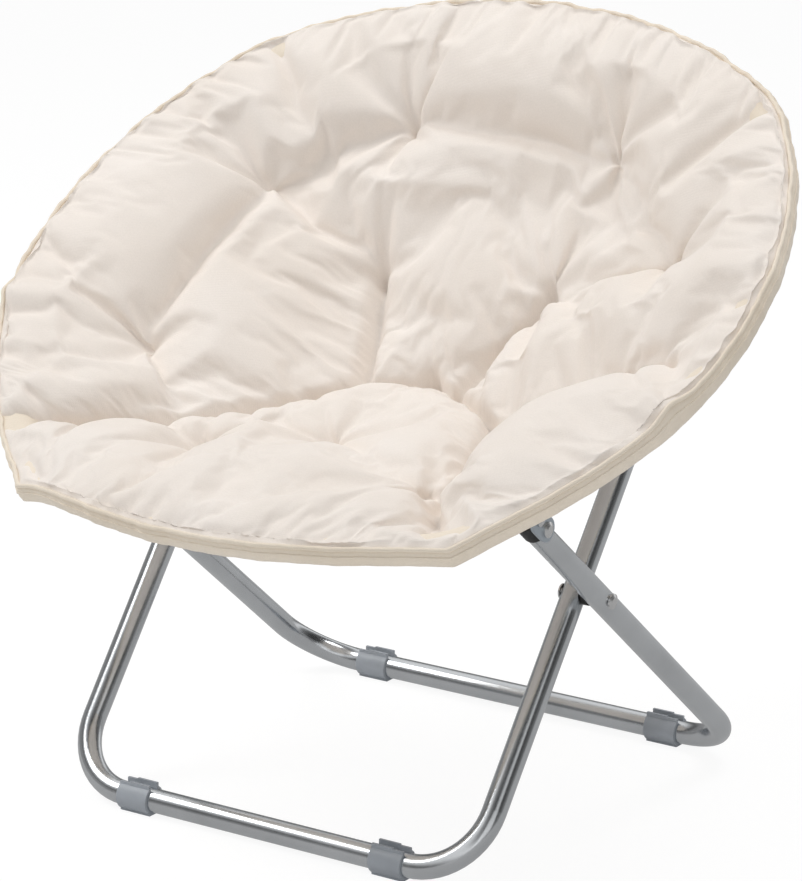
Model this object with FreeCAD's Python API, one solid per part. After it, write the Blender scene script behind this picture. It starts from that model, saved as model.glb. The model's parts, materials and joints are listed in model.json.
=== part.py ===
import FreeCAD, Part
import math
import os

V = FreeCAD.Vector

# Folding saucer chair, in millimetres.
# Origin: on the floor, below the middle of the chair's overall length and width.
# +Z is up and the chair faces -Y. Its left and right halves mirror each other.

# Leg frames: two bent tubes that cross on a rivet
leg_od = 22.0
leg_wall = 1.2
leg_bend = 63.0            # centreline radius of the floor corners
front_half_width = 217.5   # tube axis to the middle plane
leg_side_gap = 5.5         # air between the crossing tubes
front_bar_y = -182.3
rear_bar_y = 237.3
front_lean = 37.9          # degrees from upright
rear_lean = 50.0
cross_to_seat_pivot = 148.0
cross_to_back_pivot = 476.4
leg_tail = 14.0            # tube beyond its top pivot
cap_wall = 1.0
cap_length = 22.0
cap_end = 1.6

# Plastic feet that snap round the floor bars
foot_wall = 2.5
foot_length = 33.0
foot_slot = 9.0
foot_lip = 1.8
foot_flat = 14.0           # width of the flat underside
foot_inset = 80.0          # from the leg's axis

# Ring of two hoops under the fabric, each with side arcs, round corners and a shallow end arc
hoop_od = 16.0
hoop_wall = 1.2
hoop_tilt = 33.0
hoop_centre_y = -1.7
hoop_centre_rise = 458.0   # above the floor bars' axis
hinge_reach = 128.2        # hinge beyond the front leg's axis
hinge_v = -93.6            # along the tilted plane, from the ring's centre
hinge_rise = 9.5           # pin above the tubes, so that the halves close face to face
corner_reach = 18.0        # from each tangent point to the corner
seat_side_r = 480.0
seat_slope = 22.1          # degrees between the tube and the slope at the hinge
seat_side_end = 45.6       # degrees on the side arc where the corner starts
front_arc_angle = 30.0     # half the level front arc
front_tilt = 8.7
back_side_r = 386.7
back_slope = 16.2
back_side_end = 38.3
top_arc_angle = 34.0

# Hinge between the hoops
hinge_gap = 8.0            # pin to the end of each tube's fitting
collar = 2.0
spigot = 14.0
hinge_plate = 3.0
hinge_ear = 6.5
pin_r = 2.5
pin_head_r = 4.5
pin_head = 1.6

# Sheet brackets and rivets
plate = 3.0
ear_gap = 1.2              # ear to tube, each side
ear_r = 11.0
stop_rivet_reach = 16.0
arm_half = 7.0
arm_start = 7.0            # past the small rivet
saddle_wall = 2.0
saddle_half = 13.0
saddle_angle = 37.5        # on the seat's side arc
web_reach = 23.0
web_half = 9.0
rivet_r = 4.0
small_rivet_r = 2.5
head_r = 7.0
small_head_r = 4.5
head_high = 3.0
run_gap = 0.05             # radial, rivet in a hole that turns on it
face_gap = 0.15            # between faces that turn on each other

# Fabric
sleeve_wall = 2.2
sleeve_gap = 0.3
sleeve_end = 24.0          # bare tube at the hinge
slot_lip = 1.5             # above the hoop's middle
seat_slot_half = 24.0
back_slot_half = 42.0
piping_r = 2.6
piping_gap = 0.3
piping_turn = 33.0         # degrees above the ring's plane
pad_gap = 0.6
edge_top = 5.0
edge_thick = 11.0
bowl_depth = 139.0
pad_thick = 38.0           # added in the middle
split_gap = 2.4
tuft_ring = 253.0
tuft_inner = 137.0
tuft_depth = 9.0
tuft_width = 24.0
seat_columns = 22          # of the grids that the pads' surfaces pass through
seat_rows = 9
back_columns = 22
back_rows = 18

# Sizes that follow from those above
leg_r = leg_od / 2
hoop_r = hoop_od / 2
bar_z = leg_r + foot_wall
hinge_x = front_half_width + hinge_reach
rear_half_width = front_half_width + leg_od + leg_side_gap
saddle_r = hoop_r + saddle_wall
sleeve_in = hoop_r + sleeve_gap
sleeve_r = sleeve_in + sleeve_wall
pad_offset = -(sleeve_r + pad_gap)
X_AXIS = V(1, 0, 0)

tilt = math.radians(hoop_tilt)
ring_up = V(0, math.cos(tilt), math.sin(tilt))
ring_out = V(0, -math.sin(tilt), math.cos(tilt))
ring_centre = V(0, hoop_centre_y, bar_z + hoop_centre_rise)


def lean(angle):
    """Unit vector in the side view, in degrees from upright towards +Y."""
    a = math.radians(angle)
    return V(0, math.sin(a), math.cos(a))


front_foot = V(0, front_bar_y, bar_z)
rear_foot = V(0, rear_bar_y, bar_z)
front_dir = lean(front_lean)
rear_dir = lean(-rear_lean)


def crossing():
    """Distances along the front and the rear leg to the point where they cross."""
    span = rear_foot.y - front_foot.y
    front = span / (front_dir.y - rear_dir.y * front_dir.z / rear_dir.z)
    return front, front * front_dir.z / rear_dir.z


front_to_cross, rear_to_cross = crossing()
cross = front_foot + front_dir * front_to_cross
seat_pivot = cross + rear_dir * cross_to_seat_pivot
back_pivot = cross + front_dir * cross_to_back_pivot


def ring_point(x, v, o=0.0):
    """Point from its place in the tilted ring: across, along and off its plane."""
    return ring_centre + X_AXIS * x + ring_up * v + ring_out * o


class Side:
    """One side arc of a hoop, with angles about its own centre in the ring's plane."""

    def __init__(self, radius, slope, way):
        a = math.radians(slope)
        self.radius = radius
        self.hinge = -slope
        self.way = way
        self.x = hinge_x - radius * math.cos(a)
        self.v = hinge_v + radius * math.sin(a)

    def point(self, angle, out=0.0, rise=0.0):
        a = math.radians(angle)
        r = self.radius + out
        return ring_point(self.x + r * math.cos(a), self.v + r * math.sin(a), rise)

    def along(self, angle):
        """Direction of the tube at an angle, away from the hinge."""
        a = math.radians(angle)
        return (ring_up * math.cos(a) - X_AXIS * math.sin(a)) * self.way

    def after(self, length):
        """Angle of the place at a length from the hinge along the tube."""
        return self.hinge + self.way * math.degrees(length / self.radius)

    def angle_at(self, v, out=0.0):
        """Angle of the place at a height v in the ring's plane."""
        return math.degrees(math.asin((v - self.v) / (self.radius + out)))

    def arc(self, first, last, out=0.0, rise=0.0):
        middle = (first + last) / 2
        return arc(*[self.point(a, out, rise) for a in (first, middle, last)])


def rod(start, end, radius):
    line = end - start
    return Part.makeCylinder(radius, line.Length, start, line)


def bent(edges, outer, inner=0.0):
    """Round bar or tube along arcs and lines that run on smoothly."""
    pieces = []
    for edge in edges:
        start = edge.valueAt(edge.FirstParameter)
        along = edge.tangentAt(edge.FirstParameter)
        section = Part.Face(Part.Wire(Part.makeCircle(outer, start, along)))
        if inner:
            section = section.cut(Part.Face(Part.Wire(Part.makeCircle(inner, start, along))))
            section = section.Faces[0]
        if isinstance(edge.Curve, Part.Circle):
            turn = math.degrees(edge.LastParameter - edge.FirstParameter)
            pieces.append(section.revolve(edge.Curve.Center, edge.Curve.Axis, turn))
        else:
            pieces.append(section.extrude(edge.valueAt(edge.LastParameter) - start))
    return pieces[0].multiFuse(pieces[1:]) if len(pieces) > 1 else pieces[0]


def line(a, b):
    return Part.LineSegment(a, b).toShape()


def arc(a, b, c):
    return Part.Arc(a, b, c).toShape()


def opposite(p):
    return V(-p.x, p.y, p.z)


def mirrored(shape):
    return shape.mirror(V(0, 0, 0), X_AXIS)


def prism(points, move):
    return Part.Face(Part.makePolygon(points + points[:1])).extrude(move)


def save_pair(name, shape):
    save(name + "_right", shape)
    save(name + "_left", mirrored(shape))


def save(name, shape):
    shape = shape.removeSplitter()
    shape.exportStep("parts/" + name + ".step")
    print(name, len(shape.Solids), shape.isValid(), round(shape.Volume))


# Leg frames

def leg_edges(foot, direction, half, length):
    def at(x, s):
        return foot + X_AXIS * x + direction * s
    b = leg_bend
    d = b * (1 - math.sqrt(0.5))
    return [
        line(at(-half, length), at(-half, b)),
        arc(at(-half, b), at(-half + d, d), at(-half + b, 0)),
        line(at(-half + b, 0), at(half - b, 0)),
        arc(at(half - b, 0), at(half - d, d), at(half, b)),
        line(at(half, b), at(half, length)),
    ]


def leg_tube(foot, direction, half, length, holes):
    tube = bent(leg_edges(foot, direction, half, length), leg_r, leg_r - leg_wall)
    for point, radius in holes:
        tube = tube.cut(rod(point - X_AXIS * 2 * half, point + X_AXIS * 2 * half, radius))
    return tube


def leg_cap(foot, direction, half, length, rivets):
    end = foot + X_AXIS * half + direction * length
    cap = rod(end - direction * (cap_length - cap_end), end + direction * cap_end, leg_r + cap_wall)
    cap = cap.cut(rod(end - direction * cap_length, end, leg_r))
    for point, radius in rivets:
        cap = cap.cut(rod(point, point + X_AXIS * 2 * half, radius))
    return cap


def foot_clip(foot, x):
    middle = foot + X_AXIS * x
    start = middle - X_AXIS * foot_length / 2
    end = middle + X_AXIS * foot_length / 2
    outer = leg_r + foot_wall
    clip = rod(start, end, outer)
    lips = Part.makeBox(foot_length, foot_slot + 2 * foot_wall, outer + foot_lip)
    lips.translate(start - V(0, foot_slot / 2 + foot_wall, 0))
    slot = Part.makeBox(foot_length, foot_slot, 2 * outer)
    slot.translate(start - V(0, foot_slot / 2, 0))
    step = Part.makeBox(foot_length / 3, 4 * outer, 2 * outer)
    step.translate(start + V(foot_length * 2 / 3, -2 * outer, outer + foot_lip / 3))
    base = Part.makeBox(foot_length, foot_flat, outer)
    base.translate(start - V(0, foot_flat / 2, outer))
    clip = clip.fuse(lips).fuse(base).cut(slot).cut(step)
    return clip.cut(rod(start - X_AXIS, end + X_AXIS, leg_r))


def cross_rivet():
    inner = V(front_half_width - leg_r, 0, 0) + cross
    outer = V(rear_half_width + leg_r + face_gap, 0, 0) + cross
    shape = rod(inner, outer, rivet_r)
    shape = shape.fuse(domed_head(inner, -1, head_r, head_high))
    return shape.fuse(domed_head(outer, 1, head_r, head_high))


def domed_head(point, side, radius, high):
    """Rivet head that rises by high from a flat of this radius."""
    out = X_AXIS * side
    half = high / 2
    rim = Part.makeCylinder(radius, half, point, out)
    return rim.fuse(Part.makeCone(radius, radius * 0.55, half, point + out * half, out))


def cross_spacer():
    start = cross + X_AXIS * (front_half_width + leg_r)
    end = start + X_AXIS * (leg_side_gap - face_gap)
    return rod(start, end, 2 * rivet_r).cut(rod(start, end, rivet_r))


# Hoops

seat_side = Side(seat_side_r, seat_slope, -1)
back_side = Side(back_side_r, back_slope, 1)


def hoop_edges(side, leave, end_angle, ahead, trim):
    """Side arc, corner, end arc, corner and the other side arc of a hoop."""
    p1 = side.point(leave)
    t1 = side.along(leave)
    corner = p1 + t1 * corner_reach
    a = math.radians(end_angle)
    t2 = ahead * math.sin(a) - X_AXIS * math.cos(a)
    p2 = corner + t2 * corner_reach
    radius = p2.x / math.sin(a)
    end = V(0, p2.y, p2.z) + ahead * radius * (1 - math.cos(a))
    bend = t1.getAngle(t2) / 2
    inward = t2 - t1
    inward.normalize()
    turn_r = corner_reach / math.tan(bend)
    middle = corner + inward * turn_r * (1 / math.cos(bend) - 1)
    start = side.after(trim)
    right = [side.point(q) for q in (start, (start + leave) / 2, leave)]
    turn = [p1, middle, p2]
    return [arc(*right), arc(*turn), arc(p2, end, opposite(p2)),
            arc(*[opposite(p) for p in reversed(turn)]),
            arc(*[opposite(p) for p in reversed(right)])]


def seat_edges(trim=0.0):
    b = math.radians(front_tilt)
    ahead = V(0, -math.cos(b), -math.sin(b))
    return hoop_edges(seat_side, -seat_side_end, front_arc_angle, ahead, trim)


def back_edges(trim=0.0):
    return hoop_edges(back_side, back_side_end, top_arc_angle, ring_up, trim)


def beside(side, edges, out, rise):
    """Chain of edges that keeps its distance from the hoop all the way round."""
    first = edges[0].valueAt(edges[0].FirstParameter)
    outward = first - ring_point(side.x, side.v)
    outward.normalize()
    offset = outward * out + ring_out * rise
    chain = []
    for edge in edges:
        centre = edge.Curve.Center
        half = math.degrees(edge.LastParameter - edge.FirstParameter) / 2
        turn = FreeCAD.Rotation(edge.Curve.Axis, half)
        start = edge.valueAt(edge.FirstParameter) + offset - centre
        chain.append(arc(centre + start, centre + turn.multVec(start),
                         centre + turn.multVec(turn.multVec(start))))
        offset = turn.multVec(turn.multVec(offset))
    return chain


def hinge_leaf(side, x_low):
    """Plate round the pin, side +1 on the back hoop and -1 on the seat hoop."""
    def at(s, o):
        return ring_point(x_low, hinge_v + side * s, o)
    dx = X_AXIS * hinge_plate
    d = hinge_ear * math.sqrt(0.5)
    far = hinge_gap + collar / 2
    leaf = prism([at(-d / 2, hinge_rise - hinge_ear * 0.9), at(far, -hoop_r / 2),
                  at(far, hoop_r * 0.8), at(d, hinge_rise + d)], dx)
    return leaf.fuse(Part.makeCylinder(hinge_ear, hinge_plate, at(0, hinge_rise), X_AXIS))


def hinge_fitting(side, x_lows, hole):
    """End fitting of a hoop: spigot in the tube, collar and leaves to the pin."""
    near = side.after(hinge_gap)
    mid = side.after(hinge_gap + collar)
    far = side.after(hinge_gap + collar + spigot)
    shape = bent([side.arc(near, mid)], hoop_r)
    shape = shape.fuse(bent([side.arc(mid, far)], hoop_r - hoop_wall))
    for x_low in x_lows:
        shape = shape.fuse(hinge_leaf(side.way, x_low))
    start = ring_point(0, hinge_v, hinge_rise)
    return shape.cut(rod(start, start + X_AXIS * 2 * hinge_x, hole))


def fork_lows():
    offset = hinge_plate / 2 + face_gap
    return [hinge_x + offset, hinge_x - offset - hinge_plate]


def hinge_pin():
    centre = ring_point(hinge_x, hinge_v, hinge_rise)
    half = 1.5 * hinge_plate + 2 * face_gap
    pin = rod(centre - X_AXIS * half, centre + X_AXIS * half, pin_r)
    for side in (-1, 1):
        face = centre + X_AXIS * side * half
        pin = pin.fuse(rod(face, face + X_AXIS * side * pin_head, pin_head_r))
    return pin


# Brackets

def stadium(a, b, radius, thick):
    """Plate with round ends from a to b, its near face in a's plane of constant x."""
    along = b - a
    along.normalize()
    over = along.cross(X_AXIS) * radius
    shape = prism([a + over, b + over, b - over, a - over], X_AXIS * thick)
    for p in (a, b):
        shape = shape.fuse(Part.makeCylinder(radius, thick, p, X_AXIS))
    return shape


def saddle(centre, along):
    """Lower half of a collar round the hoop tube."""
    start = centre - along * saddle_half
    ring = rod(start, centre + along * saddle_half, saddle_r)
    over = ring_out.cross(along)
    over.normalize()
    lid = prism([start + over * 3 * saddle_r, start - over * 3 * saddle_r,
                 start - over * 3 * saddle_r + along * 2 * saddle_half,
                 start + over * 3 * saddle_r + along * 2 * saddle_half],
                ring_out * 2 * saddle_r)
    return ring.cut(lid)


def fabric_slot(centre, along, half):
    """Room that a sleeve leaves for a bracket, half its length each way."""
    over = ring_out.cross(along)
    over.normalize()
    start = centre - along * half + ring_out * slot_lip
    return prism([start + over * 2 * saddle_r, start - over * 2 * saddle_r,
                  start - over * 2 * saddle_r + along * 2 * half,
                  start + over * 2 * saddle_r + along * 2 * half],
                 ring_out * -3 * saddle_r)


def seat_place():
    """Middle of the seat bracket on the hoop, and the hoop's direction there."""
    return seat_side.point(-saddle_angle), seat_side.along(-saddle_angle)


def top_place(x):
    """Place on the back hoop's top arc, and the hoop's direction there."""
    curve = back_edges()[2].Curve
    across = x / curve.Radius
    up = math.sqrt(1 - across * across)
    point = curve.Center + X_AXIS * x + ring_up * curve.Radius * up
    return point, ring_up * across - X_AXIS * up


def ear_low():
    return rear_half_width + leg_r + ear_gap


def seat_bracket(tube):
    first = seat_pivot + X_AXIS * ear_low()
    second = first + rear_dir * stop_rivet_reach
    shape = stadium(first, second, ear_r, plate)
    root = second + rear_dir * arm_start
    top = seat_side.point(-saddle_angle, hoop_r * 0.5, -hoop_r * 0.7)
    reach = top - root
    over = V(0, reach.y, reach.z).cross(X_AXIS)
    over.normalize()
    over = over * arm_half
    dx = X_AXIS * plate
    shape = shape.fuse(prism([root + over, root + over + dx, root - over + dx,
                              root - over], reach - dx / 2))
    shape = shape.fuse(saddle(*seat_place())).cut(tube)
    shape = shape.cut(rod(first - dx, first + dx * 2, rivet_r))
    return shape.cut(rod(second - dx, second + dx * 2, small_rivet_r))


def plate_rivet(along, radius, head):
    start = seat_pivot + rear_dir * along + X_AXIS * ear_low()
    face = start + X_AXIS * plate
    return rod(start, face, radius).fuse(domed_head(face, 1, head, head_high))


def back_ear_lows():
    offset = leg_r + ear_gap
    return [front_half_width + offset, front_half_width - offset - plate]


def back_bracket(tube):
    shape = saddle(*top_place(front_half_width))
    for x_low in back_ear_lows():
        a = back_pivot + X_AXIS * x_low
        b = top_place(x_low + plate / 2)[0] - X_AXIS * plate / 2
        shape = shape.fuse(stadium(a, b, ear_r, plate))
    high, low = back_ear_lows()
    a = back_pivot + X_AXIS * low
    along = top_place(front_half_width)[0] - back_pivot
    along.x = 0
    along.normalize()
    over = along.cross(X_AXIS) * web_half
    near = a + along * web_reach
    far = near + along * plate
    web = prism([near + over, far + over, far - over, near - over],
                X_AXIS * (high - low + plate))
    over = hinge_x
    corners = [(0, 0), (over, 0), (over, over), (0, over)]
    lid = prism([ring_point(x, v) for x, v in corners], ring_out * 4 * saddle_r)
    shape = shape.fuse(web).cut(lid).cut(tube)
    hole = rivet_r + run_gap
    return shape.cut(rod(back_pivot, back_pivot + X_AXIS * over, hole))


def back_rivet():
    high, low = back_ear_lows()
    start = back_pivot + X_AXIS * (low - face_gap)
    end = back_pivot + X_AXIS * (high + plate + face_gap)
    shape = rod(start, end, rivet_r).fuse(domed_head(start, -1, head_r, head_high))
    return shape.fuse(domed_head(end, 1, head_r, head_high))


# Fabric

def sleeve(edges, place, half):
    room = fabric_slot(*place, half)
    return bent(edges, sleeve_r, sleeve_in).cut(room).cut(mirrored(room))


def piping(side, edges):
    a = math.radians(piping_turn)
    reach = sleeve_r + piping_r + piping_gap
    return bent(beside(side, edges, reach * math.cos(a), reach * math.sin(a)), piping_r)


def ring_coords(p):
    q = p - ring_centre
    return (q.x, q.dot(ring_up), q.dot(ring_out))


def blend(p, q, f):
    return tuple(a + (b - a) * f for a, b in zip(p, q))


def coons(bottom, top, left, right):
    """Grid of points between four borders, bottom and top from left to right."""
    rows = []
    n = len(left) - 1
    m = len(bottom) - 1
    for j in range(n + 1):
        w = j / n
        row = []
        for i in range(m + 1):
            u = i / m
            across = blend(left[j], right[j], u)
            along = blend(bottom[i], top[i], w)
            low = blend(bottom[0], bottom[-1], u)
            high = blend(top[0], top[-1], u)
            both = blend(low, high, w)
            row.append(tuple(a + b - c for a, b, c in zip(across, along, both)))
        rows.append(row)
    return rows


def pad_grid(side, edges, end, split, m, n):
    """Grid over a pad, from the split between the pads out to the hoop's end arc."""
    far = Part.Wire(beside(side, edges, pad_offset, 0.0)[1:4])
    level = [ring_coords(p) for p in far.discretize(m + 1)]
    level.sort()
    near = side.angle_at(split, pad_offset)
    angles = [near + (end - near) * j / n for j in range(n + 1)]
    right = [ring_coords(side.point(angle, pad_offset)) for angle in angles]
    left = [(-x, v, o) for x, v, o in right]
    straight = [blend(left[0], right[0], i / m) for i in range(m + 1)]
    return coons(straight, level, left, right)


def rim_discs():
    """Centre and radius in the ring's plane of the four arcs that bound the pads."""
    discs = [(s.x, s.v, s.radius + pad_offset) for s in (seat_side, back_side)]
    for edges in (seat_edges(), back_edges()):
        edge = edges[2]
        x, v, o = ring_coords(edge.valueAt(edge.FirstParameter))
        middle = ring_coords(edge.valueAt((edge.FirstParameter + edge.LastParameter) / 2))
        rise = middle[1] - v
        radius = (x * x + rise * rise) / (2 * rise)
        discs.append((0.0, middle[1] - radius, abs(radius) + pad_offset))
    return discs


discs = rim_discs()


def rim_reach(x, v):
    """0 at the ring's centre and 1 at the pads' border."""
    r = math.hypot(x, v)
    if r == 0.0:
        return 0.0
    ends = []
    for cx, cv, radius in discs:
        along = (cx * abs(x) + cv * v) / r
        ends.append(along + math.sqrt(along * along - cx * cx - cv * cv + radius * radius))
    return min(1.0, r / min(ends))


def tufts():
    places = []
    for angle in (30.0, 65.0, 115.0, 150.0, 198.0, 342.0):
        a = math.radians(angle)
        places.append((tuft_ring * math.cos(a), tuft_ring * math.sin(a)))
    for angle in (50.0, 130.0):
        a = math.radians(angle)
        places.append((tuft_inner * math.cos(a), tuft_inner * math.sin(a)))
    return places


def heights(x, v, base):
    reach = rim_reach(x, v)
    r2 = reach * reach
    inside = 1.0 - r2
    top = edge_top * r2 + base - bowl_depth * inside ** 1.5
    for tx, tv in tufts():
        d2 = (x - tx) ** 2 + (v - tv) ** 2
        top -= tuft_depth * math.exp(-d2 / tuft_width ** 2)
    f = max(0.0, min(1.0, (0.86 - reach) / 0.31))
    thick = edge_thick + pad_thick * f * f * (3 - 2 * f)
    under = edge_top * r2 + base - bowl_depth * inside ** 1.5 - thick
    return top, under


def pad(grid):
    top = []
    under = []
    for row in grid:
        pairs = [(x, v, heights(x, v, o)) for x, v, o in row]
        top.append([ring_point(x, v, h[0]) for x, v, h in pairs])
        under.append([ring_point(x, v, h[1]) for x, v, h in pairs])
    return solid_between(top, under)


def borders(surface):
    u0, u1, v0, v1 = surface.bounds()
    curves = [surface.uIso(u0), surface.uIso(u1), surface.vIso(v0), surface.vIso(v1)]
    return [c.toShape() for c in curves]


def solid_between(first, second):
    surfaces = []
    for points in (first, second):
        surface = Part.BSplineSurface()
        surface.interpolate(points)
        surfaces.append(surface)
    faces = [s.toShape() for s in surfaces]
    for a, b in zip(borders(surfaces[0]), borders(surfaces[1])):
        faces.append(Part.makeRuledSurface(a, b))
    shell = Part.makeShell(faces)
    shell.sewShape()
    solid = Part.makeSolid(Part.Shell(shell.Faces))
    if solid.Volume < 0:
        solid.reverse()
    return solid


def main():
    os.makedirs("parts", exist_ok=True)
    front_length = front_to_cross + cross_to_back_pivot + leg_tail
    rear_length = rear_to_cross + cross_to_seat_pivot + leg_tail

    holes = [(cross, rivet_r), (back_pivot, rivet_r)]
    save("front_leg_tube",
         leg_tube(front_foot, front_dir, front_half_width, front_length, holes))
    save_pair("front_leg_cap", leg_cap(front_foot, front_dir, front_half_width, front_length,
                                       [(back_pivot, rivet_r)]))
    holes = [(cross, rivet_r + run_gap)]
    save("rear_leg_tube", leg_tube(rear_foot, rear_dir, rear_half_width, rear_length, holes))
    save_pair("rear_leg_cap", leg_cap(rear_foot, rear_dir, rear_half_width, rear_length, []))
    save_pair("front_foot", foot_clip(front_foot, front_half_width - foot_inset))
    save_pair("rear_foot", foot_clip(rear_foot, rear_half_width - foot_inset))
    save_pair("cross_rivet", cross_rivet())
    save_pair("cross_spacer", cross_spacer())

    trim = hinge_gap + collar
    seat_solid = bent(seat_edges(trim), hoop_r)
    back_solid = bent(back_edges(trim), hoop_r)
    save("seat_hoop_tube", bent(seat_edges(trim), hoop_r, hoop_r - hoop_wall))
    save("back_hoop_tube", bent(back_edges(trim), hoop_r, hoop_r - hoop_wall))
    save_pair("hinge_fork", hinge_fitting(back_side, fork_lows(), pin_r + run_gap))
    tongue_low = hinge_x - hinge_plate / 2
    save_pair("hinge_tongue", hinge_fitting(seat_side, [tongue_low], pin_r))
    save_pair("hinge_pin", hinge_pin())

    save_pair("seat_bracket", seat_bracket(seat_solid))
    save_pair("seat_bracket_rivet", plate_rivet(0.0, rivet_r, head_r))
    save_pair("seat_stop_rivet", plate_rivet(stop_rivet_reach, small_rivet_r, small_head_r))
    save_pair("back_bracket", back_bracket(back_solid))
    save_pair("back_rivet", back_rivet())

    seat_trimmed = seat_edges(sleeve_end)
    back_trimmed = back_edges(sleeve_end)
    back_place = top_place(front_half_width)
    save("seat_sleeve", sleeve(seat_trimmed, seat_place(), seat_slot_half))
    save("back_sleeve", sleeve(back_trimmed, back_place, back_slot_half))
    save("seat_piping", piping(seat_side, seat_trimmed))
    save("back_piping", piping(back_side, back_trimmed))

    split = hinge_v - split_gap / 2
    grid = pad_grid(seat_side, seat_edges(), -seat_side_end, split, seat_columns, seat_rows)
    save("seat_cushion", pad(grid))
    split = hinge_v + split_gap / 2
    grid = pad_grid(back_side, back_edges(), back_side_end, split, back_columns, back_rows)
    save("back_cushion", pad(grid))


main()
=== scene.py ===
import json
import math

import bpy
import numpy as np
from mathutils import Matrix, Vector


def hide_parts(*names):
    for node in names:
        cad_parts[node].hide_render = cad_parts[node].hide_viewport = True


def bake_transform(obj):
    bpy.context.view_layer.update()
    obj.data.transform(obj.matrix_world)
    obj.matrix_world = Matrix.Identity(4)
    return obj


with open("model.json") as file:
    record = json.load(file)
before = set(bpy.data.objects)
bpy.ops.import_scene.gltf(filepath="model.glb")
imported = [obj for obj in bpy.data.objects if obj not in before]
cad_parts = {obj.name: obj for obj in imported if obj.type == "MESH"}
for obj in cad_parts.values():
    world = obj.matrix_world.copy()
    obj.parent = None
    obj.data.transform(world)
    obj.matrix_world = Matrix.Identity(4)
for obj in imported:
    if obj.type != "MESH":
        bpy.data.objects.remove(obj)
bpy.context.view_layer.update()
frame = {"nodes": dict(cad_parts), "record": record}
nodes = frame["nodes"]
print("frame loaded")

# The tilted ring: x across, v up the slope, o off its plane. The hoop tube follows four arcs
# in it (centre across, centre up, radius), and in front of the corner it slopes out of it.
ring = {
    "tilt": math.radians(33.0), "centre": np.array([0.0, -0.0017, 0.4715]),
    "arcs": ((-0.0990, 0.0870, 0.4800), (-0.0256, 0.0143, 0.3867),
             (0.0, 0.1256, 0.4533), (0.0, -0.0951, 0.4503)),
    "arcBlend": 0.0015, "frontCorner": -0.2686, "frontSlope": 0.4515, "frontBlend": 0.006,
}
alongV = np.array([0.0, math.cos(ring["tilt"]), math.sin(ring["tilt"])])
alongO = np.array([0.0, -math.sin(ring["tilt"]), math.cos(ring["tilt"])])
# Cloth corners that stand out past the hoop: angle, reach
corners = {"pulls": ((-0.876, 0.009), (-2.128, 0.016)), "width": 0.06}
hinges = {"angle": math.atan2(-0.0936, 0.3457), "width": 0.05}


def ringPoints(x, v, o):
    x, v, o = np.broadcast_arrays(x, v, o)
    return (ring["centre"] + x[..., None] * np.array([1.0, 0, 0]) + v[..., None] * alongV
            + o[..., None] * alongO)


# Distance from the ring's centre to the hoop tube in a direction, and the tube's height there
def rimAt(angle):
    c, s = np.abs(np.cos(angle)), np.sin(angle)
    total = 0.0
    for cx, cv, radius in ring["arcs"]:
        along = cx * c + cv * s
        reach = along + np.sqrt(along ** 2 - cx ** 2 - cv ** 2 + radius ** 2)
        total = total + np.exp(-reach / ring["arcBlend"])
    r = -ring["arcBlend"] * np.log(total)
    below = (ring["frontCorner"] - r * s) / ring["frontBlend"]
    rise = np.log1p(np.exp(np.clip(below, -40, 40)))
    return r, ring["frontSlope"] * ring["frontBlend"] * rise


def bell(d, width):
    return np.exp(-(d / width) ** 2)


# 0 to 1 while value goes from 0 to span
def ramp01(value, span):
    return np.clip(value / span, 0, 1)


def turnBetween(angle, other):
    return (angle - other + math.pi) % (2 * math.pi) - math.pi


def cornerPull(angle):
    return sum(reach * np.exp(-np.abs(turnBetween(angle, at)) / corners["width"])
               for at, reach in corners["pulls"])


# 1 over the two hinges between the hoops, which lift the cloth, and 0 away from them
def overHinge(angle):
    return sum(bell(turnBetween(angle, at), hinges["width"])
               for at in (hinges["angle"], math.pi - hinges["angle"]))


# Materials

def newMaterial(name, color, roughness, metallic=0.0):
    m = bpy.data.materials.new(name)
    m.use_nodes = True
    b = m.node_tree.nodes["Principled BSDF"]
    b.inputs["Base Color"].default_value = (*color, 1)
    b.inputs["Roughness"].default_value = roughness
    b.inputs["Metallic"].default_value = metallic
    return m, m.node_tree, b


def objectCoords(tree):
    return tree.nodes.new("ShaderNodeTexCoord").outputs["Object"]


def addNoise(tree, scale, detail, coords):
    tex = tree.nodes.new("ShaderNodeTexNoise")
    tex.inputs["Scale"].default_value = scale
    tex.inputs["Detail"].default_value = detail
    tree.links.new(coords, tex.inputs["Vector"])
    return tex.outputs["Fac"]


def addRamp(tree, fac, stops):
    ramp = tree.nodes.new("ShaderNodeValToRGB")
    ends = ramp.color_ramp.elements
    for element, (at, c) in ((ends[0], stops[0]), (ends[1], stops[-1])):
        element.position = at
        element.color = (*c, 1)
    for at, c in stops[1:-1]:
        ends.new(at).color = (*c, 1)
    tree.links.new(fac, ramp.inputs["Fac"])
    return ramp.outputs["Color"]


# Cloudy change between two colours over the middle of a noise
def addClouds(tree, fac, dark, light):
    return addRamp(tree, fac, [(0.3, dark), (0.7, light)])


def addBump(tree, bsdf, height, strength, distance, before=None):
    bump = tree.nodes.new("ShaderNodeBump")
    bump.inputs["Strength"].default_value = strength
    bump.inputs["Distance"].default_value = distance
    tree.links.new(height, bump.inputs["Height"])
    if before is not None:
        tree.links.new(before, bump.inputs["Normal"])
    tree.links.new(bump.outputs["Normal"], bsdf.inputs["Normal"])
    return bump.outputs["Normal"]


def mathNode(tree, op, a, b):
    n = tree.nodes.new("ShaderNodeMath")
    n.operation = op
    for i, value in enumerate((a, b)):
        if isinstance(value, (int, float)):
            n.inputs[i].default_value = value
        else:
            tree.links.new(value, n.inputs[i])
    return n.outputs[0]


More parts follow.
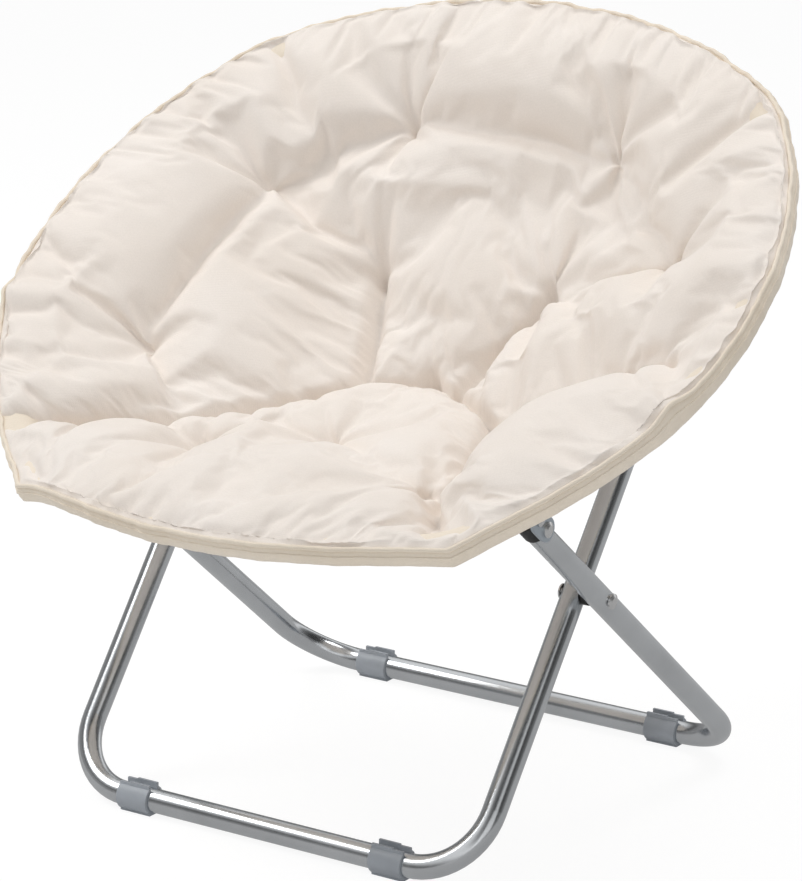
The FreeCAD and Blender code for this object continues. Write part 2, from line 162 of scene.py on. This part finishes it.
clothLook = {
    "roughness": 0.85, "sheen": 0.25, "sheenRoughness": 0.45, "specular": 0.25,
    "cloudScale": 9.0, "threadWobble": 0.6, "slubScale": 700.0, "slubShade": 0.6, "slubMix": 0.10,
    "rumpleScale": 60.0, "rumpleBump": (0.12, 0.002), "weaveBump": (0.22, 0.0005),
}
metalLook = {"softScale": 14.0, "spread": 0.10, "dim": 0.86, "bumpDistance": 0.0004}
plasticLook = {
    "fineScale": 900.0, "softScale": 30.0, "spread": 0.2, "dim": 0.8, "bumpDistance": 0.0004,
}


def clothMaterial(name, dark, light, weave):
    m, tree, b = newMaterial(name, light, clothLook["roughness"])
    b.inputs["Sheen Weight"].default_value = clothLook["sheen"]
    b.inputs["Sheen Roughness"].default_value = clothLook["sheenRoughness"]
    b.inputs["Specular IOR Level"].default_value = clothLook["specular"]
    coords = objectCoords(tree)
    cloudy = addNoise(tree, clothLook["cloudScale"], 4.0, coords)
    color = addClouds(tree, cloudy, dark, light)
    waves = []
    for axis in ("X", "Z"):
        w = tree.nodes.new("ShaderNodeTexWave")
        w.bands_direction = axis
        w.inputs["Scale"].default_value = weave
        w.inputs["Distortion"].default_value = clothLook["threadWobble"]
        w.inputs["Detail"].default_value = 1.0
        tree.links.new(coords, w.inputs["Vector"])
        waves.append(w.outputs["Fac"])
    threads = mathNode(tree, "MULTIPLY", waves[0], waves[1])
    slub = addNoise(tree, clothLook["slubScale"], 2.0, coords)
    height = mathNode(tree, "ADD", threads, slub)
    mix = tree.nodes.new("ShaderNodeMixRGB")
    mix.blend_type = "MULTIPLY"
    mix.inputs["Fac"].default_value = clothLook["slubMix"]
    tree.links.new(color, mix.inputs["Color1"])
    slubColor = addClouds(tree, slub, (clothLook["slubShade"],) * 3, (1, 1, 1))
    tree.links.new(slubColor, mix.inputs["Color2"])
    tree.links.new(mix.outputs["Color"], b.inputs["Base Color"])
    rumple = addNoise(tree, clothLook["rumpleScale"], 3.0, coords)
    first = addBump(tree, b, rumple, *clothLook["rumpleBump"])
    addBump(tree, b, height, *clothLook["weaveBump"], first)
    return m


def metalMaterial(name, color, roughness, grain, bump=0.05):
    m, tree, b = newMaterial(name, color, roughness, 1.0)
    coords = objectCoords(tree)
    spread = metalLook["spread"]
    fine = addNoise(tree, grain, 3.0, coords)
    soft = addNoise(tree, metalLook["softScale"], 3.0, coords)
    both = mathNode(tree, "ADD", mathNode(tree, "MULTIPLY", fine, spread),
                    mathNode(tree, "MULTIPLY", soft, spread))
    rough = mathNode(tree, "ADD", both, roughness - spread)
    tree.links.new(rough, b.inputs["Roughness"])
    dim = tuple(c * metalLook["dim"] for c in color)
    tree.links.new(addClouds(tree, soft, dim, color), b.inputs["Base Color"])
    addBump(tree, b, fine, bump, metalLook["bumpDistance"])
    return m


def plasticMaterial(name, color, roughness, bump):
    m, tree, b = newMaterial(name, color, roughness)
    coords = objectCoords(tree)
    spread = plasticLook["spread"]
    fine = addNoise(tree, plasticLook["fineScale"], 2.0, coords)
    soft = addNoise(tree, plasticLook["softScale"], 3.0, coords)
    dim = tuple(c * plasticLook["dim"] for c in color)
    tree.links.new(addClouds(tree, soft, dim, color), b.inputs["Base Color"])
    rough = mathNode(tree, "ADD", mathNode(tree, "MULTIPLY", soft, spread), roughness - spread / 2)
    tree.links.new(rough, b.inputs["Roughness"])
    addBump(tree, b, fine, bump, plasticLook["bumpDistance"])
    return m


creamCloth = clothMaterial("creamCloth", (0.86, 0.785, 0.715), (0.90, 0.835, 0.775), 260.0)
trimCloth = clothMaterial("trimCloth", (0.82, 0.72, 0.59), (0.89, 0.80, 0.68), 300.0)
legMetal = metalMaterial("legMetal", (0.66, 0.68, 0.70), 0.22, 420.0, 0.004)
hoopMetal = metalMaterial("hoopMetal", (0.50, 0.51, 0.53), 0.38, 300.0)
zincPlate = metalMaterial("zincPlate", (0.50, 0.55, 0.60), 0.34, 220.0, 0.10)
rivetMetal = metalMaterial("rivetMetal", (0.72, 0.72, 0.72), 0.24, 260.0)
greyPlastic = plasticMaterial("greyPlastic", (0.42, 0.455, 0.50), 0.45, 0.06)
blackPlastic = plasticMaterial("blackPlastic", (0.012, 0.012, 0.012), 0.50, 0.10)

slotMaterial = {
    "satin_tube": legMetal, "hoop_steel": hoopMetal, "zinc_plate": zincPlate,
    "rivet_steel": rivetMetal, "grey_plastic": greyPlastic, "black_plastic": blackPlastic,
    "cream_cloth": creamCloth, "beige_trim": trimCloth,
}
for sub in frame["record"]["subparts"]:
    node = nodes[sub["node"]]
    node.data.materials.clear()
    node.data.materials.append(slotMaterial[sub["material_slot"]])
print("materials made")


# Cloth bowl

# The dish, its quilting, the simulated swell, what is sewn down, and the plain underside
pad = {
    "cells": 172, "depth": 0.139, "power": 1.5, "edgePower": 6, "hem": 0.02,
    "seatLift": 0.030, "seatAt": -0.15, "seatSpan": (0.16, 0.10),
    "edgeOut": 0.0085, "edgeUp": 0.0110, "hingeLift": 0.0085,
    "puff": 0.024, "width": 0.042, "puffPower": 1.4, "rimFrom": 1.02, "rimReach": 0.36,
    "fan": 0.0020, "fanFolds": (5, 6, 7), "fanTurn": 1.7, "fanReach": 0.050, "fanHole": 0.012,
    "fold": 0.50, "foldWidth": 0.016,
    "grow": 0.10, "pressure": 3.0, "frames": 20, "cap": 0.026, "bend": 0.35,
    "stretch": 18, "shear": 6, "mass": 0.25, "damping": 3, "quality": 5,
    "heldRim": 0.985, "heldTuft": 0.005, "heldLine": 0.003,
    "tuftSink": 0.011, "tuftWidth": 0.011, "lineSink": 0.017, "lineWidth": 0.006,
    "wrinkle": 0.0012, "wrinkleFrom": 0.75, "wrinkleSpan": 0.2,
    "wrinkleTurns": 61, "wrinkleDrift": 3, "driftTurns": 7,
    "thin": 0.010, "thick": 0.040, "thickFrom": 0.86, "thickSpan": 0.3, "thickPower": 1.5,
    "tuftThin": 0.006, "tuftThinWidth": 0.030,
    "rimThinFrom": 1.01, "rimThinSpan": 0.06, "rimThinLeast": 0.35,
}
tufts = [(r * math.cos(math.radians(a)), r * math.sin(math.radians(a)))
         for a, r in ((29, 0.257), (65, 0.262), (115, 0.262), (148, 0.266), (197, 0.246),
                      (53, 0.146), (132, 0.150), (238, 0.206), (264, 0.120), (306, 0.228))]
# Lines as places across and along the ring. The first are sewn down, the others only folded.
creases = [
    [(-0.262, -0.238), (-0.200, -0.190), (-0.140, -0.122), (-0.058, -0.018), (0.0, 0.014)],
    [(0.0, 0.014), (0.072, -0.022), (0.121, -0.058), (0.204, -0.020), (0.300, -0.012)],
    [(0.121, -0.058), (0.150, -0.150), (0.158, -0.201), (0.205, -0.262)],
    [(-0.100, 0.108), (-0.078, 0.045), (-0.060, -0.014)],
    [(0.084, 0.110), (0.052, 0.045), (0.030, 0.000)],
    [(-0.225, 0.141), (-0.110, 0.237), (0.110, 0.237), (0.222, 0.126)],
    [(-0.225, 0.141), (-0.100, 0.108)],
    [(0.222, 0.126), (0.088, 0.115), (0.121, -0.058)],
    [(-0.225, 0.141), (-0.238, -0.077)],
]
sewnLines = creases[:5]
foldLines = creases[5:]


# Distance from each place to a line of straight runs
def lineDistance(x, v, line):
    best = np.full(x.shape, 9.0)
    pts = np.array(line)
    for p, q in zip(pts[:-1], pts[1:]):
        d = q - p
        t = np.clip(((x - p[0]) * d[0] + (v - p[1]) * d[1]) / (d @ d), 0, 1)
        best = np.minimum(best, np.hypot(x - p[0] - t * d[0], v - p[1] - t * d[1]))
    return best


def tuftDistances(x, v):
    return [np.hypot(x - tx, v - tv) for tx, tv in tufts]


# Height of the unquilted dish over the ring's plane
def bowl(x, v):
    angle = np.arctan2(v, x)
    r, h = rimAt(angle)
    s = np.clip(np.hypot(x, v) / (r + pad["edgeOut"] + cornerPull(angle)), 0, 1)
    dish = -pad["depth"] * np.clip(1 - s ** 2, 0, 1) ** pad["power"]
    spanX, spanV = pad["seatSpan"]
    lift = pad["seatLift"] * np.exp(-(x / spanX) ** 2 - ((v - pad["seatAt"]) / spanV) ** 2)
    edge = h + pad["edgeUp"] + pad["hingeLift"] * overHinge(angle)
    return dish + lift + edge * s ** pad["edgePower"]


# Fullness of the pads between tufts, sewn lines and the rim, with folds that fan out from tufts
def quilt(x, v, s):
    near = (pad["rimFrom"] - s) * pad["rimReach"]
    for line in sewnLines:
        near = np.minimum(near, lineDistance(x, v, line))
    fan = np.zeros(x.shape)
    for k, d in enumerate(tuftDistances(x, v)):
        near = np.minimum(near, d)
        turn = np.arctan2(v - tufts[k][1], x - tufts[k][0])
        folds = np.sin(pad["fanFolds"][k % 3] * turn + pad["fanTurn"] * k)
        fan += pad["fan"] * folds * bell(d, pad["fanReach"]) * (1 - bell(d, pad["fanHole"]))
    full = pad["puff"] * (1 - np.exp(-(near / pad["width"]) ** pad["puffPower"]))
    for line in foldLines:
        full = full * (1 - pad["fold"] * bell(lineDistance(x, v, line), pad["foldWidth"]))
    return full + fan


# How far tufts and sewn lines draw the cloth in, with wrinkles near the rim
def drawnIn(x, v, s, phi, inner):
    sink = np.zeros(x.shape)
    for d in tuftDistances(x, v):
        sink += pad["tuftSink"] * bell(d, pad["tuftWidth"])
    for line in sewnLines:
        sink += pad["lineSink"] * bell(lineDistance(x, v, line), pad["lineWidth"])
    drift = pad["wrinkleDrift"] * np.sin(phi * pad["driftTurns"])
    waves = np.sin(phi * pad["wrinkleTurns"] + drift)
    wrinkle = pad["wrinkle"] * waves * ramp01(s - pad["wrinkleFrom"], pad["wrinkleSpan"])
    return sink + wrinkle * inner


# Depth of the underside below the dish
def padDepth(x, v, s):
    swell = ramp01(pad["thickFrom"] - s, pad["thickSpan"]) ** pad["thickPower"]
    below = pad["thin"] + pad["thick"] * swell
    for d in tuftDistances(x, v):
        below = below - pad["tuftThin"] * bell(d, pad["tuftThinWidth"])
    atRim = (pad["rimThinFrom"] - s) / pad["rimThinSpan"]
    return below * np.clip(atRim, pad["rimThinLeast"], 1)


# Square grid laid on a disc: share of the way to the rim, and angle
def concentric(n):
    a, b = np.meshgrid(np.linspace(-1, 1, n), np.linspace(-1, 1, n))
    wide = np.abs(a) > np.abs(b)
    r = np.where(wide, a, b)
    with np.errstate(divide="ignore", invalid="ignore"):
        phi = np.where(wide, math.pi / 4 * b / a, math.pi / 2 - math.pi / 4 * a / b)
    phi = np.where(r == 0, 0, phi)
    x, y = r * np.cos(phi), r * np.sin(phi)
    return np.hypot(x, y), np.arctan2(y, x)


def gridFaces(n):
    i, j = np.meshgrid(np.arange(n - 1), np.arange(n - 1))
    a = (j * n + i).ravel()
    return np.stack([a, a + 1, a + n + 1, a + n], 1)


# The grid's outer places in turn
def gridBorder(n):
    return np.concatenate([np.arange(n), n * np.arange(1, n) + n - 1,
                           n * (n - 1) + np.arange(n - 2, -1, -1), n * np.arange(n - 2, 0, -1)])


def shadeSmooth(mesh):
    mesh.polygons.foreach_set("use_smooth", [True] * len(mesh.polygons))


def meshFrom(name, points, faces, material):
    mesh = bpy.data.meshes.new(name)
    mesh.from_pydata([tuple(p) for p in points], [], [tuple(int(k) for k in f) for f in faces])
    mesh.materials.append(material)
    shadeSmooth(mesh)
    mesh.update()
    obj = bpy.data.objects.new(name, mesh)
    bpy.context.scene.collection.objects.link(obj)
    return obj


def getCoords(mesh):
    co = np.zeros(len(mesh.vertices) * 3)
    mesh.vertices.foreach_get("co", co)
    return co.reshape(-1, 3)


# Cloth pinned at its rim, tufts and sewn lines swells under pressure
def puff(points, x, v, s, faces):
    obj = meshFrom("padSim", points, faces, creamCloth)
    hold = s > pad["heldRim"]
    for d in tuftDistances(x, v):
        hold |= d < pad["heldTuft"]
    for line in sewnLines:
        hold |= lineDistance(x, v, line) < pad["heldLine"]
    group = obj.vertex_groups.new(name="held")
    group.add([int(k) for k in np.nonzero(hold.ravel())[0]], 1.0, "REPLACE")
    mod = obj.modifiers.new("cloth", "CLOTH")
    cloth = mod.settings
    cloth.quality = pad["quality"]
    cloth.mass = pad["mass"]
    cloth.tension_stiffness = pad["stretch"]
    cloth.compression_stiffness = pad["stretch"]
    cloth.shear_stiffness = pad["shear"]
    cloth.bending_stiffness = pad["bend"]
    cloth.air_damping = pad["damping"]
    cloth.vertex_group_mass = "held"
    cloth.shrink_min = -pad["grow"]
    cloth.use_pressure = True
    cloth.uniform_pressure_force = pad["pressure"]
    cloth.effector_weights.gravity = 0
    mod.collision_settings.use_collision = False
    mod.point_cache.frame_start = 1
    mod.point_cache.frame_end = pad["frames"]
    scene = bpy.context.scene
    for f in range(1, pad["frames"] + 1):
        scene.frame_set(f)
    shaped = obj.evaluated_get(bpy.context.evaluated_depsgraph_get())
    result = getCoords(shaped.data)
    scene.frame_set(1)
    bpy.data.objects.remove(obj)
    return result


def makeCushion():
    n = pad["cells"] + 1
    s, phi = concentric(n)
    reach = s * (rimAt(phi)[0] + pad["edgeOut"] + cornerPull(phi))
    x, v = reach * np.cos(phi), reach * np.sin(phi)
    o = bowl(x, v)
    inner = ramp01(1 - s, pad["hem"])
    faces = gridFaces(n)
    points = ringPoints(x, v, o + quilt(x, v, s) * inner).reshape(-1, 3)
    step = puff(points, x, v, s, faces) - points
    far = np.linalg.norm(step, axis=1, keepdims=True)
    points = points + step * np.minimum(1, pad["cap"] / np.maximum(far, 1e-9))
    print("pads swollen, largest step", round(float(far.max()), 4))
    points = points - drawnIn(x, v, s, phi, inner).reshape(-1, 1) * alongO
    under = ringPoints(x, v, o - padDepth(x, v, s)).reshape(-1, 3)
    total = len(points)
    border = gridBorder(n)
    band = [(p, p + total, q + total, q) for p, q in zip(border, np.roll(border, -1))]
    allFaces = [*faces, *(faces[:, ::-1] + total), *band]
    obj = meshFrom("padBowl", np.concatenate([points, under]), allFaces, creamCloth)
    sub = obj.modifiers.new("sub", "SUBSURF")
    sub.levels = sub.render_levels = 1
    bpy.context.view_layer.objects.active = obj
    bpy.ops.object.modifier_apply(modifier="sub")
    shadeSmooth(obj.data)
    return obj


cushion = makeCushion()
tuple(ringPoints(0.0, -0.135, 0.0))
tuple(ringPoints(0.0, -0.052, 0.0))
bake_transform(cushion)
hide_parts("seat_cushion", "back_cushion")
print("bowl made")


# Rim: wavy sleeve round the hoop, piping and its seam

# Waves are turns round the ring, offset and height. Profiles are (out, up) round the tube's
# middle, and round pieces are (out, up, radius). Only what is outside follows the cloth's
# corners, and only what is outside and above is lifted over the hinges.
rim = {
    "steps": 900, "waveUp": 0.6,
    "waves": ((37, 0.3, 0.0005), (61, 1.7, 0.0004), (23, 2.2, 0.0004), (131, 0.9, 0.0003)),
    "pullFrom": -0.010, "pullSpan": 0.018,
    "liftUpSpan": 0.01, "liftFrom": -0.008, "liftSpan": 0.010,
    "sleeve": ((-0.019, -0.004), (-0.012, 0.0045), (-0.004, 0.0094), (0.004, 0.0104),
               (0.0100, 0.0104), (0.0125, 0.0065), (0.0130, 0.0), (0.0116, -0.0075),
               (0.0066, -0.0122), (-0.001, -0.0142), (-0.010, -0.0150), (-0.018, -0.0120)),
    "piping": (0.0098, 0.0112, 0.0021), "seam": (0.0128, 0.0045, 0.0011),
}


# Closed band along the hoop tube
def sweepRim(name, profile, material):
    steps = rim["steps"]
    a = np.linspace(0, 2 * math.pi, steps, endpoint=False)
    r, h = rimAt(a)
    ripple = sum(np.sin(a * k + q) * w for k, q, w in rim["waves"])
    rows = []
    for out, up in profile:
        pulled = cornerPull(a) * ramp01(out - rim["pullFrom"], rim["pullSpan"])
        radius = r + out + ripple + pulled
        lift = pad["hingeLift"] * overHinge(a) * ramp01(up, rim["liftUpSpan"])
        lift = lift * ramp01(out - rim["liftFrom"], rim["liftSpan"])
        high = up + rim["waveUp"] * ripple + lift
        rows.append(ringPoints(radius * np.cos(a), radius * np.sin(a), h + high))
    pts = np.stack(rows, 1).reshape(-1, 3)
    m = len(profile)
    faces = []
    for i in range(m):
        j = (i + 1) % m
        faces += [(p * m + i, (p + 1) % steps * m + i, (p + 1) % steps * m + j, p * m + j)
                  for p in range(steps)]
    return meshFrom(name, pts, faces, material)


def circleProfile(out, up, radius, count):
    t = np.linspace(0, 2 * math.pi, count, endpoint=False)
    return [(out + radius * math.cos(q), up + radius * math.sin(q)) for q in t]


sleeveBand = sweepRim("rimSleeve", rim["sleeve"], trimCloth)
pipe = sweepRim("rimPiping", circleProfile(*rim["piping"], 10), trimCloth)
seam = sweepRim("rimSeam", circleProfile(*rim["seam"], 8), trimCloth)
for piece, replaced in ((sleeveBand, ("seat_sleeve", "back_sleeve")),
                        (pipe, ("seat_piping", "back_piping")), (seam, ())):
    tuple(ringPoints(0.0, -0.125, 0.0))
    tuple(ringPoints(0.0, -0.062, 0.0))
    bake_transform(piece)
    if replaced:
        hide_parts(*replaced)
print("rim made")


# Studio

# Lights are place, size and power
studio = {
    "floorSize": 30, "floorGrey": 0.9, "floorGlow": 1.07, "floorGlossLoss": 0.62,
    "floorSeen": 0.84, "ambient": 0.42, "bandSide": 0.35, "bandUp": 0.5, "bandMiddle": 0.5,
    "keyLight": ((-2.0, -1.2, 3.2), 1.6, 57),
    "fillLight": ((3.0, -2.4, 1.6), 2.5, 14),
    "topLight": ((0.6, 0.9, 3.4), 1.4, 30),
    "aim": (0, 0, 0.4),
}
# Grey levels of the surroundings that only polished pieces reflect, from below to above
bands = ((0.0, 0.30), (0.36, 0.30), (0.46, 0.05), (0.54, 0.30), (0.66, 1.0), (0.74, 1.0),
         (0.82, 0.30), (1.0, 0.05))
# Focal length and shifts are in pixels of the photo's height
camera = {
    "azimuth": 34.1033, "elevation": 15.5573, "distance": 3.62204,
    "target": (0, 0.0303, 0.3525), "focal": 4009.5, "shift": (3.099, -35.368), "height": 881,
    "sensor": 36,
}


def makeStage():
    bpy.ops.mesh.primitive_plane_add(size=studio["floorSize"], location=(0, 0, 0))
    floor = bpy.context.object
    floor.name = "studioFloor"
    grey = studio["floorGrey"]
    m, tree, b = newMaterial("floorPaper", (grey,) * 3, grey)
    out = tree.nodes["Material Output"]
    path = tree.nodes.new("ShaderNodeLightPath")
    glossy = path.outputs["Is Glossy Ray"]
    glow = tree.nodes.new("ShaderNodeEmission")
    loss = mathNode(tree, "MULTIPLY", glossy, studio["floorGlossLoss"])
    tree.links.new(mathNode(tree, "SUBTRACT", studio["floorGlow"], loss), glow.inputs["Strength"])
    mix = tree.nodes.new("ShaderNodeMixShader")
    seen = mathNode(tree, "MAXIMUM", path.outputs["Is Camera Ray"],
                    mathNode(tree, "MAXIMUM", glossy, path.outputs["Is Transmission Ray"]))
    tree.links.new(mathNode(tree, "MULTIPLY", seen, studio["floorSeen"]), mix.inputs["Fac"])
    tree.links.new(b.outputs["BSDF"], mix.inputs[1])
    tree.links.new(glow.outputs["Emission"], mix.inputs[2])
    tree.links.new(mix.outputs["Shader"], out.inputs["Surface"])
    floor.data.materials.append(m)


# White all round, with the bands for polished pieces
def makeWorld():
    world = bpy.data.worlds.new("studio")
    bpy.context.scene.world = world
    world.use_nodes = True
    tree = world.node_tree
    bg = tree.nodes["Background"]
    path = tree.nodes.new("ShaderNodeLightPath")
    glossy = path.outputs["Is Glossy Ray"]
    way = tree.nodes.new("ShaderNodeTexCoord").outputs["Generated"]
    split = tree.nodes.new("ShaderNodeSeparateXYZ")
    tree.links.new(way, split.inputs["Vector"])
    side = mathNode(tree, "MULTIPLY", split.outputs["X"], studio["bandSide"])
    up = mathNode(tree, "MULTIPLY", split.outputs["Z"], studio["bandUp"])
    height = mathNode(tree, "ADD", up, side)
    reflected = addRamp(tree, mathNode(tree, "ADD", height, studio["bandMiddle"]),
                        [(at, (level,) * 3) for at, level in bands])
    mix = tree.nodes.new("ShaderNodeMixRGB")
    tree.links.new(glossy, mix.inputs["Fac"])
    mix.inputs["Color1"].default_value = (1, 1, 1, 1)
    tree.links.new(reflected, mix.inputs["Color2"])
    tree.links.new(mix.outputs["Color"], bg.inputs["Color"])
    seen = mathNode(tree, "MAXIMUM", path.outputs["Is Camera Ray"],
                    mathNode(tree, "MAXIMUM", glossy, path.outputs["Is Transmission Ray"]))
    tree.links.new(mathNode(tree, "MAXIMUM", seen, studio["ambient"]), bg.inputs["Strength"])


def makeLights():
    for name in ("keyLight", "fillLight", "topLight"):
        place, size, power = studio[name]
        light = bpy.data.lights.new(name, "AREA")
        light.size = size
        light.energy = power
        obj = bpy.data.objects.new(name, light)
        obj.location = place
        aim = Vector(studio["aim"]) - Vector(place)
        obj.rotation_euler = aim.to_track_quat("-Z", "Y").to_euler()
        bpy.context.scene.collection.objects.link(obj)


def makeCamera():
    az, el = math.radians(camera["azimuth"]), math.radians(camera["elevation"])
    back = Vector((math.sin(az) * math.cos(el), -math.cos(az) * math.cos(el), math.sin(el)))
    cam = bpy.data.cameras.new("mainCamera")
    cam.sensor_width = camera["sensor"]
    cam.sensor_fit = "AUTO"
    cam.lens = camera["focal"] * camera["sensor"] / camera["height"]
    cam.shift_x = camera["shift"][0] / camera["height"]
    cam.shift_y = camera["shift"][1] / camera["height"]
    cam.clip_end = 50
    obj = bpy.data.objects.new("mainCamera", cam)
    obj.location = Vector(camera["target"]) + back * camera["distance"]
    obj.rotation_euler = (-back).to_track_quat("-Z", "Y").to_euler()
    bpy.context.scene.collection.objects.link(obj)
    bpy.context.scene.camera = obj


makeStage()
makeWorld()
makeLights()
makeCamera()
bpy.context.scene.view_settings.view_transform = "Standard"
print("stage set")
